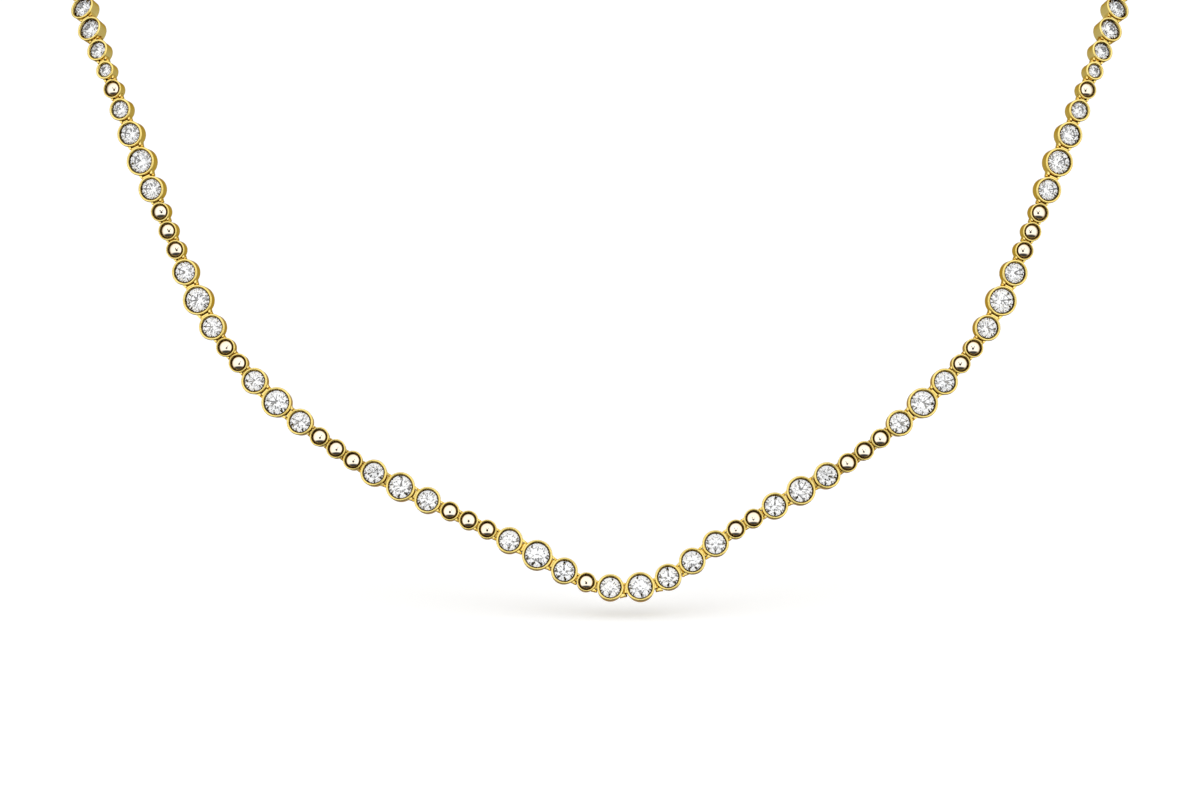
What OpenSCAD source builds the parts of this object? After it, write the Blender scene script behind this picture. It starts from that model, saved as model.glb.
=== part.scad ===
// Necklace of round bezel settings, hinged end to end in a closed loop that dips to a soft V
// in front. Faceted stones of five sizes alternate with small polished domes.
// Millimetres. +Z is up, the front of the loop faces -Y, and the origin is on the inner face
// of the clasp at the nape.

/* [Settings] */
// Outer diameter of the extra large settings
extra_large_d = 3.98; // [3.9:0.02:4.04]
// Outer diameter of the large settings
large_d = 3.82; // [3.74:0.02:3.88]
// Outer diameter of the medium settings
medium_d = 3.48; // [3.4:0.02:3.54]
// Outer diameter of the small settings
small_d = 3; // [2.94:0.02:3.06]
// Outer diameter of the tiny settings
tiny_d = 2.54; // [2.48:0.02:2.58]
// Outer diameter of the settings that hold a dome
dome_d = 2.54; // [2.5:0.01:2.55]
// Width of the rounded rim round a stone
rim_w = 0.29; // [0.28:0.01:0.3]
// Width of the rounded rim round a dome
dome_rim_w = 0.2; // [0.19:0.01:0.22]
// Height of a stone's rim over the route of the string
rim_top = 0.95; // [0.93:0.01:0.98]
// Height of a dome's rim over the route of the string
dome_rim_top = 0.85; // [0.84:0.01:0.88]
// Depth of the cup's open base under the route of the string
cup_base = 0.9; // [0.8:0.05:1.0]

/* [Hinges] */
// Length of an extra large link from rivet to rivet
extra_large_link = 4.38; // [4.36:0.01:4.4]
// Length of a large link from rivet to rivet
large_link = 4.14; // [4.12:0.01:4.16]
// Length of a medium link from rivet to rivet
medium_link = 3.76; // [3.74:0.01:3.78]
// Length of a small link from rivet to rivet
small_link = 3.34; // [3.32:0.01:3.36]
// Length of a tiny link from rivet to rivet
tiny_link = 2.84; // [2.82:0.01:2.86]
// Length of a domed link from rivet to rivet
dome_link = 2.71; // [2.7:0.01:2.74]
// Width of the tongue between two large settings
tongue_w = 1; // [0.9:0.01:1.02]
// Width of the tongue beside a small, tiny or domed setting
small_tongue_w = 0.7; // [0.6:0.01:0.72]
// Thickness of each lug of the fork at its rivet
lug_w = 0.28; // [0.25:0.01:0.3]
// How much further out each lug spreads where it meets a large cup
lug_spread = 0.16; // [0.12:0.01:0.18]
// How much further out each lug spreads where it meets a small cup
small_lug_spread = 0.03; // [0:0.01:0.04]
// Clear space around the rivet and beside the tongue
play = 0.1; // [0.1:0.01:0.12]
// Diameter of the rivet
rivet_d = 0.34; // [0.3:0.01:0.36]

/* [Stones] */
// Width of the flat table as a share of the stone's width
table_share = 0.57; // [0.5:0.01:0.62]
// Height of the crown over the girdle as a share of the stone's width
crown_share = 0.155; // [0.14:0.005:0.165]
// Depth of the pavilion under the girdle as a share of the stone's width
pavilion_share = 0.425; // [0.4:0.005:0.435]
// Height of a polished dome over its girdle
dome_rise = 0.7; // [0.62:0.01:0.72]
// How much further round each stone is turned in its cup than the one before
stone_turn = 17; // [0:1:44]

/* [Clasp] */
// Diameter of the plain barrel that closes the loop
clasp_d = 2.8; // [2.4:0.1:3.2]
// Clear length between the barrel's round end and the rivet of its fork
clasp_neck = 0.75; // [0.65:0.05:1]

/* [Hidden] */
$fn = 64;
// Settings from the front centre outwards, one letter each: X extra large, L large, M medium,
// S small, T tiny, D dome
left_front = "MDMXMDDDMLMDDDMXMDDMXMDDDMLMSDTSMM";
right_front = "LMMMDDMLMDDDMXMDDMXMDDDMLMSDTSMM";
// Settings of medium size that carry each side on from there to the clasp
left_back_count = 29;
right_back_count = 29;
// Faceted settings on each side whose stone is a node of its own
main_stones = 20;

// The route, from the front centre to the nape. Columns: x on the left side, x on the right
// side, y, z, the way that the settings face as degrees round from the front, and as degrees
// up from level.
route_rows = [
    [3.2, 3.2, -101.3, -91, 0, 26],
    [-2, 8, -101, -90.1, 2, 26],
    [-8.2, 13.1, -99.9, -86.7, 4, 26],
    [-14.8, 17.7, -98.6, -83.6, 6, 26],
    [-26, 27, -96.1, -78.6, 9, 26],
    [-32.3, 32.8, -94.2, -75.5, 12, 26],
    [-42.4, 42.4, -90.4, -68.6, 16, 26],
    [-49.2, 49.2, -86.9, -61.8, 18, 26],
    [-52.8, 52.8, -84.4, -56, 19, 26],
    [-56.9, 56.9, -80.8, -47.1, 21, 25],
    [-60.4, 60.4, -77.4, -38.8, 22, 25],
    [-65.3, 65.3, -71.3, -27.8, 25, 26],
    [-68.9, 68.9, -63, -20.3, 33, 29],
    [-70.8, 70.8, -51.5, -13.6, 52, 33],
    [-68.2, 68.2, -36.5, -8.4, 82, 33],
    [-59.5, 59.5, -21.8, -4.8, 112, 27],
    [-45, 45, -9.3, -2.2, 138, 19],
    [-24, 24, -0.9, -0.6, 161, 10],
    [0, 0, 1.8, 0, 180, 0]
];
// Straight steps that the curve is walked in between two rows
steps = 24;

// Place of the hinge on the cup, and sizes of its round ends
hinge_z = -0.12;
eye_wall = 0.1;
eye_d = rivet_d + 2 * (play + eye_wall);
lug_end_d = 0.66;
lug_top = 0.6;
clear_d = eye_d + 2 * play;
rivet_head = 0.04;
tongue_under = 0.33;
// The raised pad of the tongue, how clear it stays of the next rim and how high it rises
pad_clear = 0.12;
pad_chamfer = 0.06;
pad_top = rim_top - rim_w / 2;
small_pad_drop = 0.05;
small_pad_top = dome_rim_top - dome_rim_w / 2 - small_pad_drop;

// Turn of the cup that keeps the line where its round closes clear of both hinges
seam_turn = 65;
// Steps of the cup's wall, inwards from the rim's outer edge. The groove, girdle and hole of a
// domed cup lie less far in, by dome_shift, because its rim is narrower.
wall_top_in = 0.03;
rim_sunk = 0.01;
base_in = 0.1;
lip_in = 0.45;
dome_lip_in = 0.28;
groove_in = 0.32;
girdle_in = 0.38;
hole_in = 0.72;
dome_shift = 0.16;
// Heights of the cup's wall
wall_top_under = 0.22;
rim_under = 0.12;
lip_z = 0.59;
dome_lip_z = 0.66;
groove_low = 0.39;
seat_low = 0.07;
girdle_z = 0.43;
girdle_t = 0.04;
// Radius of the ring where a brilliant's mains meet its lower facets, as a share of its own
low_share = 0.24;
// How far the tongue and the lugs reach into the cup's wall
tongue_root = 0.28;
lug_root = 0.33;
dome_lug_root = 0.24;
lug_root_slant = 0.15;

function setting_d(kind) =
    kind == "X" ? extra_large_d :
    kind == "L" ? large_d :
    kind == "M" ? medium_d :
    kind == "S" ? small_d :
    kind == "T" ? tiny_d : dome_d;
function link_length(kind) =
    kind == "X" ? extra_large_link :
    kind == "L" ? large_link :
    kind == "M" ? medium_link :
    kind == "S" ? small_link :
    kind == "T" ? tiny_link : dome_link;
// Gap between the cup's rim and the middle of its rivets
function half_gap(kind) = (link_length(kind) - setting_d(kind)) / 2;

// The sizes that depend on what a cup holds, and on the smaller setting at a joint
function shift(kind) = kind == "D" ? dome_shift : 0;
function rim_width(kind) = kind == "D" ? dome_rim_w : rim_w;
function rim_height(kind) = kind == "D" ? dome_rim_top : rim_top;
function lip_height(kind) = kind == "D" ? dome_lip_z : lip_z;
function lip_depth(kind) = kind == "D" ? dome_lip_in : lip_in;
function is_small(kind) = kind == "S" || kind == "T" || kind == "D";
function joint_tongue(a, b) = is_small(a) || is_small(b) ? small_tongue_w : tongue_w;
function joint_pad(a, b) = is_small(a) || is_small(b) ? small_pad_top : pad_top;
function joint_spread(a, b) = is_small(a) || is_small(b) ? small_lug_spread : lug_spread;

// The settings of one side, with the back run added as medium ones
function repeated(letter, count) = [for (i = [0:1:count - 1]) letter];
left_kinds = concat([for (letter = left_front) letter], repeated("M", left_back_count));
right_kinds = concat([for (letter = right_front) letter], repeated("M", right_back_count));

// A smooth curve through rows of numbers, walked in short straight steps
function between(a, b, c, d, t) =
    0.5 * (2 * b + (c - a) * t + (2 * a - 5 * b + 4 * c - d) * t * t
        + (3 * b - a - 3 * c + d) * t * t * t);
function smooth(rows) = [
    for (i = [1:len(rows) - 3], s = [0:steps - 1])
        between(rows[i - 1], rows[i], rows[i + 1], rows[i + 2], s / steps)
];

// One side's rows as x, y, z, turn, lean. The turn is negative on the left side.
function side_row(row, side) = side < 0
    ? [row[0], row[2], row[3], -row[4], row[5]]
    : [row[1], row[2], row[3], row[4], row[5]];
function side_rows(side) = let (last = len(route_rows) - 1) concat(
    [side_row(route_rows[1], -side)],
    [for (row = route_rows) side_row(row, side)],
    [side_row(route_rows[last - 1], -side) + [0, 0, 0, side * 360, 0]],
    [side_row(route_rows[last - 2], -side) + [0, 0, 0, side * 360, 0]]
);
left_track = smooth(side_rows(-1));
right_track = smooth(side_rows(1));

// Joints along a track: each lies one link's length in a straight line from the last
function place(row) = [row[0], row[1], row[2]];
function reach(track, start, from, length) =
    norm(place(track[from]) - start) >= length ? from : reach(track, start, from + 1, length);
function joints(track, lengths, n = 0, from = 1, at = undef) =
    let (here = at == undef ? track[0] : at)
    n == len(lengths) ? [here] :
    let (
        far = reach(track, place(here), from, lengths[n]),
        near_gap = norm(place(track[far - 1]) - place(here)),
        far_gap = norm(place(track[far]) - place(here)),
        share = (lengths[n] - near_gap) / (far_gap - near_gap),
        next = track[far - 1] + share * (track[far] - track[far - 1])
    )
    concat([here], joints(track, lengths, n + 1, far, next));
left_joints = joints(left_track, [for (kind = left_kinds) link_length(kind)]);
right_joints = joints(right_track, [for (kind = right_kinds) link_length(kind)]);

// A frame is a place with three directions: along the string, across it, and outwards
function outward(turn, lean) = [sin(turn) * cos(lean), -cos(turn) * cos(lean), sin(lean)];
function unit(v) = v / norm(v);
function frame_at(p, along, out) = let (
    x = unit(along),
    y = unit(cross(out, x)),
    z = cross(x, y)
) [
    [x[0], y[0], z[0], p[0]],
    [x[1], y[1], z[1], p[1]],
    [x[2], y[2], z[2], p[2]],
    [0, 0, 0, 1]
];
function out_at(joint) = outward(joint[3], joint[4]);
function link_frame(all, i) = frame_at(
    (place(all[i]) + place(all[i + 1])) / 2,
    place(all[i + 1]) - place(all[i]),
    out_at(all[i]) + out_at(all[i + 1])
);
// A joint's frame lies halfway between the two links that meet there
function joint_frame(all, i, before, after) = let (
    back = i == 0 ? before : place(all[i - 1]),
    ahead = i == len(all) - 1 ? after : place(all[i + 1])
) frame_at(
    place(all[i]),
    unit(place(all[i]) - back) + unit(ahead - place(all[i])),
    out_at(all[i])
);
left_end = place(left_joints[len(left_joints) - 1]);
right_end = place(right_joints[len(right_joints) - 1]);
function left_joint_frame(i) =
    joint_frame(left_joints, i, place(right_joints[1]), right_end);
function right_joint_frame(i) =
    joint_frame(right_joints, i, place(left_joints[1]), left_end);

// Places of the letters in a side's list that hold a faceted stone, or a dome
function faceted(kinds) = [for (i = [0:len(kinds) - 1]) if (kinds[i] != "D") i];
function domed(kinds) = [for (i = [0:len(kinds) - 1]) if (kinds[i] == "D") i];
left_faceted = faceted(left_kinds);
right_faceted = faceted(right_kinds);
function stone_name(side, n) = str("stone_", side, n < 9 ? "_0" : "_", n + 1);

// Bezel cup round the Z axis: a rounded rim, a sloping lip over the girdle's groove, a sloping
// seat, an open back and a nearly straight outer wall
module cup(kind, r) {
    w = rim_width(kind);
    top = rim_height(kind);
    in = shift(kind);
    rotate_extrude() {
        translate([r - w / 2, top - w / 2]) circle(d = w);
        polygon([
            [r - wall_top_in, top - wall_top_under],
            [r - w + rim_sunk, top - rim_under],
            [r - lip_depth(kind), lip_height(kind)],
            [r - groove_in + in, lip_height(kind)],
            [r - groove_in + in, groove_low],
            [r - hole_in + in, seat_low],
            [r - hole_in + in, -cup_base],
            [r - base_in, -cup_base]
        ]);
    }
}

module across(d, w) {
    translate([0, 0, hinge_z]) rotate([90, 0, 0]) cylinder(d = d, h = w, center = true);
}

// Width over both lugs of the fork that holds a tongue of width w
function fork_out(w) = w + 2 * play + 2 * lug_w;

// The round room that a cup leaves for its neighbour's hinge
module hinge_room(w) {
    across(clear_d, fork_out(w) + 2 * (rivet_head + play));
}

// Two lugs that reach from the rivet forward into the cup, one on each side of the tongue of
// width w, and spread towards the cup
module fork(length, w, spread) {
    inside = w / 2 + play;
    outside = inside + lug_w;
    lug_low = hinge_z - lug_end_d / 2;
    for (side = [-1, 1]) {
        translate([0, side * (inside + outside) / 2, 0]) across(lug_end_d, lug_w);
        translate([0, 0, lug_low]) linear_extrude(lug_top - lug_low) polygon([
            [0, side * inside],
            [length, side * inside],
            [length + lug_root_slant, side * (outside + spread)],
            [0, side * outside]
        ]);
    }
    across(rivet_d, fork_out(w) + 2 * rivet_head);
}

// The tongue of width w that reaches from the cup to the rivet, with its round end and a raised
// pad that goes on to pad_end, past the rivet or short of it, and closes the gap between the rims
module tongue(length, w, pad_end, top) {
    across(eye_d, w);
    rotate([90, 0, 0]) linear_extrude(w, center = true) polygon([
        [-length, hinge_z - tongue_under],
        [0, hinge_z - tongue_under],
        [pad_end, hinge_z],
        [pad_end, top - pad_chamfer],
        [pad_end - pad_chamfer, top],
        [-length, top]
    ]);
}

// One link, built in place between the frames of its two joints. The kinds before and after it
// set the size of its joints.
module link(before, kind, after, middle, inner, outer, both_tongues = false) {
    tongue_reach = half_gap(kind) + tongue_root - shift(kind);
    lug_reach = half_gap(kind) + (kind == "D" ? dome_lug_root : lug_root);
    inner_w = joint_tongue(before, kind);
    outer_w = joint_tongue(kind, after);
    inner_pad = joint_pad(before, kind);
    outer_pad = joint_pad(kind, after);
    inner_end = half_gap(before) - pad_clear;
    outer_end = half_gap(after) - pad_clear;
    difference() {
        union() {
            difference() {
                multmatrix(middle) rotate([0, 0, seam_turn]) cup(kind, setting_d(kind) / 2);
                multmatrix(inner) hinge_room(inner_w);
                multmatrix(outer) hinge_room(outer_w);
            }
            multmatrix(inner) {
                if (both_tongues) mirror([1, 0, 0]) tongue(tongue_reach, inner_w, inner_end, inner_pad);
                else fork(lug_reach, inner_w, joint_spread(before, kind));
            }
            multmatrix(outer) tongue(tongue_reach, outer_w, outer_end, outer_pad);
        }
        multmatrix(outer) across(rivet_d + 2 * play, outer_w + play);
        if (both_tongues) multmatrix(inner) across(rivet_d + 2 * play, inner_w + play);
    }
}

// Round brilliant on the Z axis: table, stars, kites and girdle facets above, girdle facets
// and mains below down to a point
module brilliant(d) {
    r = d / 2;
    table_r = r * table_share;
    star_r = (table_r + r) / 2;
    low_r = r * low_share;
    crown_h = d * crown_share;
    pavilion_h = d * pavilion_share;
    crown_slope = crown_h / (r - table_r);
    pavilion_slope = pavilion_h / r;
    star_h = (r - star_r * cos(22.5)) * crown_slope;
    low_h = (r - low_r * cos(22.5)) * pavilion_slope;
    function ring(radius, z, count, turn) = [
        for (i = [0:count - 1])
            [radius * cos(360 * i / count + turn), radius * sin(360 * i / count + turn), z]
    ];
    points = concat(
        ring(table_r, crown_h + girdle_t, 8, 0),
        ring(star_r, star_h + girdle_t, 8, 22.5),
        ring(r, girdle_t, 16, 0),
        ring(r, 0, 16, 0),
        ring(low_r, -low_h, 8, 22.5),
        [[0, 0, -pavilion_h]]
    );
    star = 8;
    upper = 16;
    lower = 32;
    low = 48;
    point = 56;
    faces = concat(
        [[for (i = [7:-1:0]) i]],
        [for (i = [0:7]) [i, (i + 1) % 8, star + i]],
        [for (i = [0:7]) [i, star + i, upper + 2 * i, star + (i + 7) % 8]],
        [for (i = [0:7]) [star + i, upper + 2 * i + 1, upper + 2 * i]],
        [for (i = [0:7]) [star + i, upper + (2 * i + 2) % 16, upper + 2 * i + 1]],
        [for (i = [0:15]) [upper + i, upper + (i + 1) % 16, lower + (i + 1) % 16, lower + i]],
        [for (i = [0:7]) [low + i, lower + 2 * i, lower + 2 * i + 1]],
        [for (i = [0:7]) [low + i, lower + 2 * i + 1, lower + (2 * i + 2) % 16]],
        [for (i = [0:7]) [point, low + (i + 7) % 8, lower + 2 * i, low + i]]
    );
    translate([0, 0, girdle_z]) polyhedron(points, faces);
}

// Polished dome on a short girdle with a flat underside
module dome(r) {
    ball_r = (r * r + dome_rise * dome_rise) / (2 * dome_rise);
    intersection() {
        translate([0, 0, girdle_z + dome_rise - ball_r]) sphere(ball_r);
        translate([0, 0, girdle_z - girdle_t]) cylinder(r = r, h = 2 * dome_rise);
    }
}

// The kind of setting next to the i-th of one side. The two sides meet at the front centre, and
// the clasp counts as a large setting.
function neighbour(kinds, other, i) = i < 0 ? other[0] : i == len(kinds) ? "X" : kinds[i];

module links_left() {
    kinds = left_kinds;
    color("gold") for (i = [0:len(kinds) - 1])
        link(neighbour(kinds, right_kinds, i - 1), kinds[i],
            neighbour(kinds, right_kinds, i + 1), link_frame(left_joints, i),
            left_joint_frame(i), left_joint_frame(i + 1));
}

module links_right() {
    kinds = right_kinds;
    color("gold") for (i = [0:len(kinds) - 1])
        link(neighbour(kinds, left_kinds, i - 1), kinds[i],
            neighbour(kinds, left_kinds, i + 1), link_frame(right_joints, i),
            right_joint_frame(i), right_joint_frame(i + 1), both_tongues = i == 0);
}

module domes(kinds, all) {
    color("bisque") for (i = domed(kinds))
        multmatrix(link_frame(all, i)) dome(dome_d / 2 - girdle_in + dome_shift);
}

module stone(kinds, all, i) {
    color("white") multmatrix(link_frame(all, i)) rotate([0, 0, stone_turn * i])
        brilliant(setting_d(kinds[i]) - 2 * girdle_in);
}

module stones_back() {
    for (n = [main_stones:len(left_faceted) - 1]) stone(left_kinds, left_joints, left_faceted[n]);
    for (n = [main_stones:len(right_faceted) - 1])
        stone(right_kinds, right_joints, right_faceted[n]);
}

// Plain barrel with round ends between the last two eyes, with a fork at each end
module clasp() {
    r = clasp_d / 2;
    round_to_round = norm(right_end - left_end) - 2 * clasp_neck - clasp_d;
    lug_reach = clasp_neck + r;
    color("gold") union() {
        multmatrix(frame_at((left_end + right_end) / 2, right_end - left_end, [0, 1, 0]))
            translate([0, 0, hinge_z]) {
                rotate([0, 90, 0]) cylinder(r = r, h = round_to_round, center = true);
                for (side = [-1, 1]) translate([side * round_to_round / 2, 0, 0]) sphere(r);
            }
        multmatrix(left_joint_frame(len(left_joints) - 1))
            fork(lug_reach, tongue_w, lug_spread);
        multmatrix(right_joint_frame(len(right_joints) - 1))
            fork(lug_reach, tongue_w, lug_spread);
    }
}

links_left();
links_right();
domes(left_kinds, left_joints);  // domes_left
domes(right_kinds, right_joints);  // domes_right
stones_back();
clasp();
for (n = [0:main_stones - 1]) {
    stone(left_kinds, left_joints, left_faceted[n]);
    stone(right_kinds, right_joints, right_faceted[n]);
}
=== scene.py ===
"""A necklace of hinged round gold settings, closed in a loop that hangs in a soft V."""
import math

import bpy
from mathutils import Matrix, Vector


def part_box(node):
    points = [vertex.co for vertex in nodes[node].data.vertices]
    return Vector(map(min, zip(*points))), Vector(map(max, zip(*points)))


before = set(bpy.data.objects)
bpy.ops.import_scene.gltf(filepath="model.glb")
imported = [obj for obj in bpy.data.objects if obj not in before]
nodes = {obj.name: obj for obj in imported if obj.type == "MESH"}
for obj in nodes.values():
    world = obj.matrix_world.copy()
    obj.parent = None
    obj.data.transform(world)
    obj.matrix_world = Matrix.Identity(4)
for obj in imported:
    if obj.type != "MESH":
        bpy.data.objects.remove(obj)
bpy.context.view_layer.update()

# The links and the clasp, of polished yellow gold. Each link is a bezel cup with its fork and
# tongue soldered on, and turns on the rivet of its neighbour. Polishing has softened the edges
# and left faint marks. The crevices, and the gold round each stone and dome, get painted shade
# in dark brown.
front_low = Vector((0.0, -0.1013, -0.091))
middle_hinge = Vector((0.0032, front_low.y, front_low.z))


def polished_gold():
    deep_yellow = (0.96, 0.73, 0.21, 1)
    bright_yellow = (0.98, 0.8, 0.29, 1)
    glancing = (0.75, 0.5, 0.18, 1)
    # painted shade: the dark brown painted into crevices and round the stones and domes
    painted_shade_dark = (0.055, 0.021, 0.004, 1)
    mottle_size = 900.0
    mottle_detail = 3.0
    deep_at = 0.3
    bright_at = 0.7
    best_polish = 0.1
    worst_polish = 0.2
    crevice_reach = 0.00015
    crevice_shut = 0.4
    crevice_open = 0.8
    ring_reach = 0.0006
    ring_at_stone = 0.27
    ring_off_stone = 0.08
    open_samples = 8
    lug_end = 0.00033
    gap_half = 0.00035
    hinge_reach = 0.0021
    edge_radius = 0.00005
    edge_samples = 6
    mark_size = 14000.0
    mark_strength = 0.06
    mark_depth = 0.00002
    gold = bpy.data.materials.new("polished_gold")
    gold.use_nodes = True
    tree = gold.node_tree
    shader = tree.nodes["Principled BSDF"]
    shader.inputs["Metallic"].default_value = 1.0
    shader.inputs["Specular Tint"].default_value = glancing
    place = tree.nodes.new("ShaderNodeTexCoord")

    mottle = tree.nodes.new("ShaderNodeTexNoise")
    mottle.inputs["Scale"].default_value = mottle_size
    mottle.inputs["Detail"].default_value = mottle_detail
    tree.links.new(place.outputs["Object"], mottle.inputs["Vector"])
    tint = tree.nodes.new("ShaderNodeValToRGB")
    tint.color_ramp.elements[0].position = deep_at
    tint.color_ramp.elements[0].color = deep_yellow
    tint.color_ramp.elements[1].position = bright_at
    tint.color_ramp.elements[1].color = bright_yellow
    tree.links.new(mottle.outputs["Fac"], tint.inputs["Fac"])

    def openness(reach, gold_alone):
        open_share = tree.nodes.new("ShaderNodeAmbientOcclusion")
        open_share.samples = open_samples
        open_share.only_local = gold_alone
        open_share.inputs["Distance"].default_value = reach
        return open_share.outputs["AO"]

    # Painted shade, a dark ring on the gold just beside a stone or a dome: open as far as the
    # gold goes, but not in fact
    ring = tree.nodes.new("ShaderNodeMath")
    ring.operation = "SUBTRACT"
    tree.links.new(openness(ring_reach, True), ring.inputs[0])
    tree.links.new(openness(ring_reach, False), ring.inputs[1])
    clear_of_stone = tree.nodes.new("ShaderNodeMapRange")
    clear_of_stone.inputs["From Min"].default_value = ring_at_stone
    clear_of_stone.inputs["From Max"].default_value = ring_off_stone
    tree.links.new(ring.outputs["Value"], clear_of_stone.inputs["Value"])
    # Painted shade in crevices: where other gold is close by, the gold is painted dark
    clear_of_gold = tree.nodes.new("ShaderNodeMapRange")
    clear_of_gold.inputs["From Min"].default_value = crevice_shut
    clear_of_gold.inputs["From Max"].default_value = crevice_open
    tree.links.new(openness(crevice_reach, True), clear_of_gold.inputs["Value"])

    # Where two pieces of the string hinge together, the other piece isn't taken for a stone, and
    # no painted shade ring is put there
    off_stone = clear_of_stone.outputs["Result"]
    clasp_low, clasp_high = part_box("clasp")
    meetings = [
        middle_hinge,
        Vector((clasp_low[0] + lug_end, 0, 0)),
        Vector((clasp_high[0] - lug_end, 0, 0)),
    ]
    for meeting in meetings:
        away = tree.nodes.new("ShaderNodeVectorMath")
        away.operation = "SUBTRACT"
        away.inputs[1].default_value = meeting
        tree.links.new(place.outputs["Object"], away.inputs[0])
        beyond = tree.nodes.new("ShaderNodeVectorMath")
        beyond.operation = "ABSOLUTE"
        tree.links.new(away.outputs["Vector"], beyond.inputs[0])
        sides = tree.nodes.new("ShaderNodeSeparateXYZ")
        tree.links.new(beyond.outputs["Vector"], sides.inputs["Vector"])
        between_rims = tree.nodes.new("ShaderNodeMath")
        between_rims.operation = "LESS_THAN"
        between_rims.inputs[1].default_value = gap_half
        tree.links.new(sides.outputs["X"], between_rims.inputs[0])
        distance = tree.nodes.new("ShaderNodeVectorMath")
        distance.operation = "LENGTH"
        tree.links.new(away.outputs["Vector"], distance.inputs[0])
        nearby = tree.nodes.new("ShaderNodeMath")
        nearby.operation = "LESS_THAN"
        nearby.inputs[1].default_value = hinge_reach
        tree.links.new(distance.outputs["Value"], nearby.inputs[0])
        hinge_here = tree.nodes.new("ShaderNodeMath")
        hinge_here.operation = "MULTIPLY"
        tree.links.new(between_rims.outputs["Value"], hinge_here.inputs[0])
        tree.links.new(nearby.outputs["Value"], hinge_here.inputs[1])
        freed = tree.nodes.new("ShaderNodeMath")
        freed.operation = "MAXIMUM"
        tree.links.new(off_stone, freed.inputs[0])
        tree.links.new(hinge_here.outputs["Value"], freed.inputs[1])
        off_stone = freed.outputs["Value"]
    # The gold keeps its own tint only outside both painted shades; elsewhere it is painted dark
    # brown
    outside_painted_shade = tree.nodes.new("ShaderNodeMath")
    outside_painted_shade.operation = "MULTIPLY"
    tree.links.new(off_stone, outside_painted_shade.inputs[0])
    tree.links.new(clear_of_gold.outputs["Result"], outside_painted_shade.inputs[1])
    colour = tree.nodes.new("ShaderNodeMix")
    colour.data_type = "RGBA"
    colour.inputs["A"].default_value = painted_shade_dark
    tree.links.new(outside_painted_shade.outputs["Value"], colour.inputs["Factor"])
    tree.links.new(tint.outputs["Color"], colour.inputs["B"])
    tree.links.new(colour.outputs["Result"], shader.inputs["Base Color"])

    polish = tree.nodes.new("ShaderNodeMapRange")
    polish.inputs["To Min"].default_value = best_polish
    polish.inputs["To Max"].default_value = worst_polish
    tree.links.new(mottle.outputs["Fac"], polish.inputs["Value"])
    tree.links.new(polish.outputs["Result"], shader.inputs["Roughness"])

    softened = tree.nodes.new("ShaderNodeBevel")
    softened.samples = edge_samples
    softened.inputs["Radius"].default_value = edge_radius
    marks = tree.nodes.new("ShaderNodeTexNoise")
    marks.inputs["Scale"].default_value = mark_size
    tree.links.new(place.outputs["Object"], marks.inputs["Vector"])
    scratched = tree.nodes.new("ShaderNodeBump")
    scratched.inputs["Strength"].default_value = mark_strength
    scratched.inputs["Distance"].default_value = mark_depth
    tree.links.new(marks.outputs["Fac"], scratched.inputs["Height"])
    tree.links.new(softened.outputs["Normal"], scratched.inputs["Normal"])
    tree.links.new(scratched.outputs["Normal"], shader.inputs["Normal"])
    return gold


gold = polished_gold()
for name in ("links_left", "links_right", "clasp"):
    nodes[name].data.materials.clear()
    nodes[name].data.materials.append(gold)

# The stones. Each is a round brilliant of clear diamond, held at its girdle by the rim of its
# cup, with its table just under the top of the rim. Some are a little colder than others.


def cut_stone():
    bend = 2.42
    cold = (0.97, 0.985, 1.0, 1)
    clear = (1.0, 1.0, 0.995, 1)
    batch_size = 150.0
    cold_at = 0.35
    clear_at = 0.65
    stone = bpy.data.materials.new("cut_stone")
    stone.use_nodes = True
    tree = stone.node_tree
    shader = tree.nodes["Principled BSDF"]
    shader.inputs["Transmission Weight"].default_value = 1.0
    shader.inputs["IOR"].default_value = bend
    shader.inputs["Roughness"].default_value = 0.0
    place = tree.nodes.new("ShaderNodeTexCoord")
    batch = tree.nodes.new("ShaderNodeTexNoise")
    batch.inputs["Scale"].default_value = batch_size
    tree.links.new(place.outputs["Object"], batch.inputs["Vector"])
    tint = tree.nodes.new("ShaderNodeValToRGB")
    tint.color_ramp.elements[0].position = cold_at
    tint.color_ramp.elements[0].color = cold
    tint.color_ramp.elements[1].position = clear_at
    tint.color_ramp.elements[1].color = clear
    tree.links.new(batch.outputs["Fac"], tint.inputs["Fac"])
    tree.links.new(tint.outputs["Color"], shader.inputs["Base Color"])
    return stone


stone = cut_stone()
for name, node in nodes.items():
    if name.startswith("stone"):
        node.data.materials.clear()
        node.data.materials.append(stone)

# The domes. Each is a small cabochon of pale champagne gold, polished like a mirror and held in
# a little cup of its own. The metal is a little warmer here and there.


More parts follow.
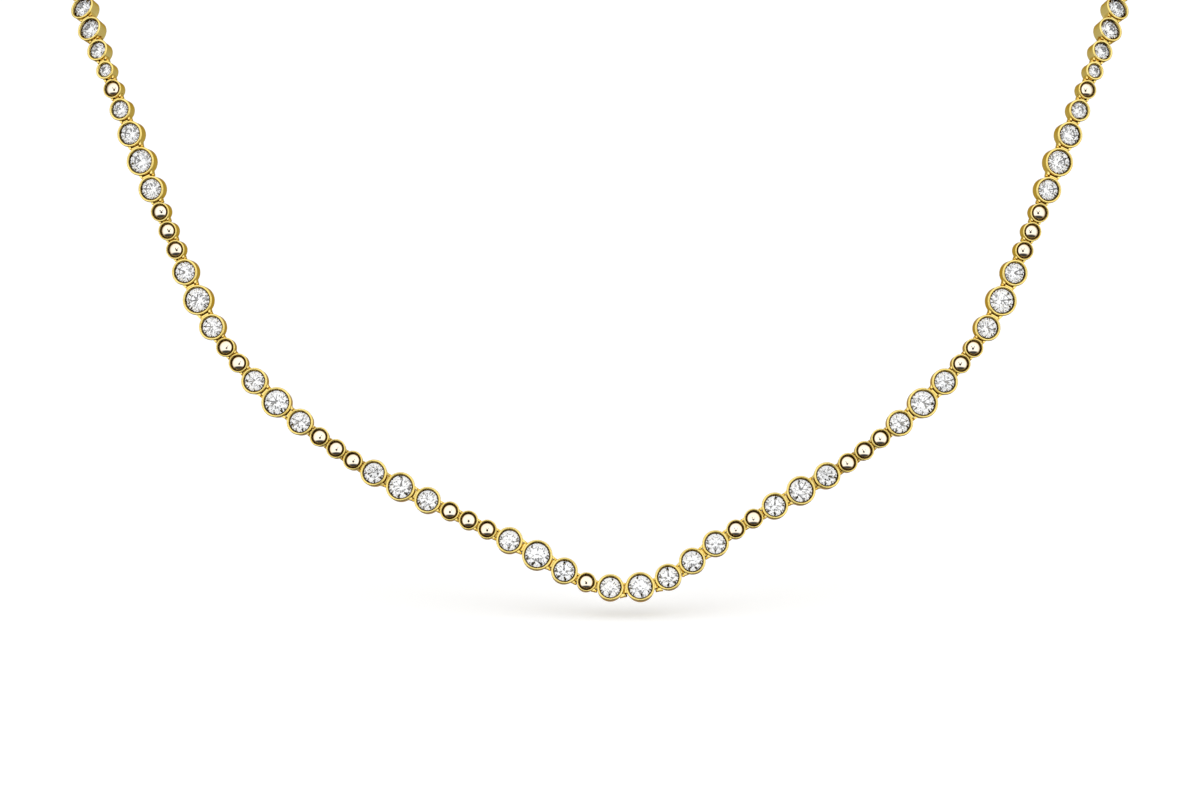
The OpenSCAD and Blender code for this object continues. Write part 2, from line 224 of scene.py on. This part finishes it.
def pale_dome():
    champagne = (0.97, 0.85, 0.66, 1)
    cream = (0.98, 0.9, 0.77, 1)
    glancing = (0.9, 0.7, 0.45, 1)
    warmth_size = 700.0
    champagne_at = 0.3
    cream_at = 0.7
    best_polish = 0.04
    worst_polish = 0.09
    dome = bpy.data.materials.new("pale_dome")
    dome.use_nodes = True
    tree = dome.node_tree
    shader = tree.nodes["Principled BSDF"]
    shader.inputs["Metallic"].default_value = 1.0
    shader.inputs["Specular Tint"].default_value = glancing
    place = tree.nodes.new("ShaderNodeTexCoord")
    warmth = tree.nodes.new("ShaderNodeTexNoise")
    warmth.inputs["Scale"].default_value = warmth_size
    tree.links.new(place.outputs["Object"], warmth.inputs["Vector"])
    tint = tree.nodes.new("ShaderNodeValToRGB")
    tint.color_ramp.elements[0].position = champagne_at
    tint.color_ramp.elements[0].color = champagne
    tint.color_ramp.elements[1].position = cream_at
    tint.color_ramp.elements[1].color = cream
    tree.links.new(warmth.outputs["Fac"], tint.inputs["Fac"])
    tree.links.new(tint.outputs["Color"], shader.inputs["Base Color"])
    polish = tree.nodes.new("ShaderNodeMapRange")
    polish.inputs["To Min"].default_value = best_polish
    polish.inputs["To Max"].default_value = worst_polish
    tree.links.new(warmth.outputs["Fac"], polish.inputs["Value"])
    tree.links.new(polish.outputs["Result"], shader.inputs["Roughness"])
    return dome


dome = pale_dome()
for name in ("domes_left", "domes_right"):
    nodes[name].data.materials.clear()
    nodes[name].data.materials.append(dome)

# The camera looks square at the front of the necklace, from a little above, and its frame is the
# photograph's: so many millimetres to each of its pixels across.
lean = math.radians(15)
photo_mm = 0.13
photo_w = 1200
photo_h = 800
front_low_y = 590
film_w = 36.0
camera_far = 0.8
seen_from = 0.01
seen_to = 20.0
view_up = Vector((0, math.sin(lean), math.cos(lean)))
view_back = Vector((0, -math.cos(lean), math.sin(lean)))
aim = front_low + view_up * (front_low_y - photo_h / 2) * photo_mm / 1000
camera_data = bpy.data.cameras.new("camera")
camera_data.sensor_width = film_w
camera_data.lens = camera_data.sensor_width * camera_far / (photo_w * photo_mm / 1000)
camera_data.clip_start = seen_from
camera_data.clip_end = seen_to
camera = bpy.data.objects.new("camera", camera_data)
camera.location = aim + view_back * camera_far
camera.rotation_euler = (-view_back).to_track_quat("-Z", "Y").to_euler()
bpy.context.scene.collection.objects.link(camera)
bpy.context.scene.camera = camera

# The floor, a wide white sheet just under the low point of the V. Polished metal and stones
# would show it from edge to edge, so it is kept out of what they mirror and bend.


def white_sheet():
    matt = 0.9
    glow = 0.25
    darkest_fibre = 0.895
    lightest_fibre = 0.905
    fibre_size = 40.0
    sheet = bpy.data.materials.new("white_sheet")
    sheet.use_nodes = True
    tree = sheet.node_tree
    shader = tree.nodes["Principled BSDF"]
    shader.inputs["Roughness"].default_value = matt
    shader.inputs["Emission Color"].default_value = (1, 1, 1, 1)
    shader.inputs["Emission Strength"].default_value = glow
    place = tree.nodes.new("ShaderNodeTexCoord")
    fibre = tree.nodes.new("ShaderNodeTexNoise")
    fibre.inputs["Scale"].default_value = fibre_size
    tree.links.new(place.outputs["Object"], fibre.inputs["Vector"])
    tint = tree.nodes.new("ShaderNodeMapRange")
    tint.inputs["To Min"].default_value = darkest_fibre
    tint.inputs["To Max"].default_value = lightest_fibre
    tree.links.new(fibre.outputs["Fac"], tint.inputs["Value"])
    tree.links.new(tint.outputs["Result"], shader.inputs["Base Color"])
    return sheet


floor_w = 12.0
floor_gap = 0.0035
bpy.ops.object.select_all(action="DESELECT")
bpy.ops.mesh.primitive_plane_add(size=floor_w, location=(0, 0, front_low.z - floor_gap))
floor = bpy.context.object
floor.name = "floor"
floor.data.materials.append(white_sheet())
floor.visible_glossy = False
floor.visible_transmission = False

# The light, a white tent all round. It is brightest over and beside the camera, half as bright
# behind the necklace and dark low down. In front it has a dark round hole for the lens, from
# which two thin dark seams run up and outwards.


def light_tent():
    # How bright the cloth is from behind (0) to in front (1), and from low (0) to high (1)
    from_behind = [(0, 0.5), (0.4, 0.5), (0.5, 1.0), (0.8, 1.25)]
    from_below = [(0, 0.04), (0.15, 0.04), (0.27, 1.0), (1, 1.0)]
    in_hole = (0.02, 0.02, 0.02, 1)
    hole_in = math.radians(12)
    hole_out = math.radians(16)
    hole_drop = 0.1
    in_seam = (0.04, 0.04, 0.04, 1)
    seam_tilt = 0.8
    seam_half = math.radians(2.5)
    seam_blur = 1.4
    seam_length = math.radians(36)
    seam_fade = 1.15
    seam_start = -0.1
    tent = bpy.data.worlds.new("light_tent")
    tent.use_nodes = True
    tree = tent.node_tree
    place = tree.nodes.new("ShaderNodeTexCoord")

    def toward(direction):
        along = tree.nodes.new("ShaderNodeVectorMath")
        along.operation = "DOT_PRODUCT"
        along.inputs[1].default_value = direction.normalized()
        tree.links.new(place.outputs["Generated"], along.inputs[0])
        return along.outputs["Value"]

    def bands(value, stops):
        half = tree.nodes.new("ShaderNodeMath")
        half.operation = "MULTIPLY_ADD"
        half.inputs[1].default_value = 0.5
        half.inputs[2].default_value = 0.5
        tree.links.new(value, half.inputs[0])
        ramp = tree.nodes.new("ShaderNodeValToRGB")
        elements = ramp.color_ramp.elements
        elements[0].position = stops[0][0]
        elements[1].position = stops[-1][0]
        for position, level in stops[1:-1]:
            elements.new(position)
        for element, (position, level) in zip(elements, stops):
            element.color = (level, level, level, 1)
        tree.links.new(half.outputs["Value"], ramp.inputs["Fac"])
        return ramp.outputs["Color"]

    def blended(kind, factor, first, second):
        mix = tree.nodes.new("ShaderNodeMix")
        mix.data_type = "RGBA"
        mix.blend_type = kind
        for socket, value in (("Factor", factor), ("A", first), ("B", second)):
            if isinstance(value, bpy.types.NodeSocket):
                tree.links.new(value, mix.inputs[socket])
            else:
                mix.inputs[socket].default_value = value
        return mix.outputs["Result"]

    back_to_front = bands(toward(view_back), from_behind)
    low_to_high = bands(toward(view_up), from_below)
    cloth = blended("MULTIPLY", 1.0, back_to_front, low_to_high)
    hole = tree.nodes.new("ShaderNodeMapRange")
    hole.inputs["From Min"].default_value = math.cos(hole_out)
    hole.inputs["From Max"].default_value = math.cos(hole_in)
    tree.links.new(toward(view_back - view_up * hole_drop), hole.inputs["Value"])
    lit = blended("MIX", hole.outputs["Result"], cloth, in_hole)
    for side in (-1, 1):
        run = (view_up + Vector((side * seam_tilt, 0, 0))).normalized()
        off = tree.nodes.new("ShaderNodeMath")
        off.operation = "ABSOLUTE"
        tree.links.new(toward(view_back.cross(run)), off.inputs[0])
        beside = tree.nodes.new("ShaderNodeMapRange")
        beside.inputs["From Min"].default_value = seam_blur * math.sin(seam_half)
        beside.inputs["From Max"].default_value = math.sin(seam_half)
        tree.links.new(off.outputs["Value"], beside.inputs["Value"])
        along = tree.nodes.new("ShaderNodeMapRange")
        along.inputs["From Min"].default_value = seam_start
        along.inputs["From Max"].default_value = 0.0
        tree.links.new(toward(run), along.inputs["Value"])
        near = tree.nodes.new("ShaderNodeMapRange")
        near.inputs["From Min"].default_value = math.cos(seam_fade * seam_length)
        near.inputs["From Max"].default_value = math.cos(seam_length)
        tree.links.new(toward(view_back), near.inputs["Value"])
        seam = tree.nodes.new("ShaderNodeMath")
        seam.operation = "MULTIPLY"
        tree.links.new(beside.outputs["Result"], seam.inputs[0])
        tree.links.new(along.outputs["Result"], seam.inputs[1])
        seam_here = tree.nodes.new("ShaderNodeMath")
        seam_here.operation = "MULTIPLY"
        tree.links.new(seam.outputs["Value"], seam_here.inputs[0])
        tree.links.new(near.outputs["Result"], seam_here.inputs[1])
        lit = blended("MIX", seam_here.outputs["Value"], lit, in_seam)
    rays = tree.nodes.new("ShaderNodeLightPath")
    seen = blended("MIX", rays.outputs["Is Camera Ray"], lit, (1, 1, 1, 1))
    tree.links.new(seen, tree.nodes["Background"].inputs["Color"])
    return tent


bpy.context.scene.world = light_tent()
bpy.context.scene.view_settings.view_transform = "Standard"
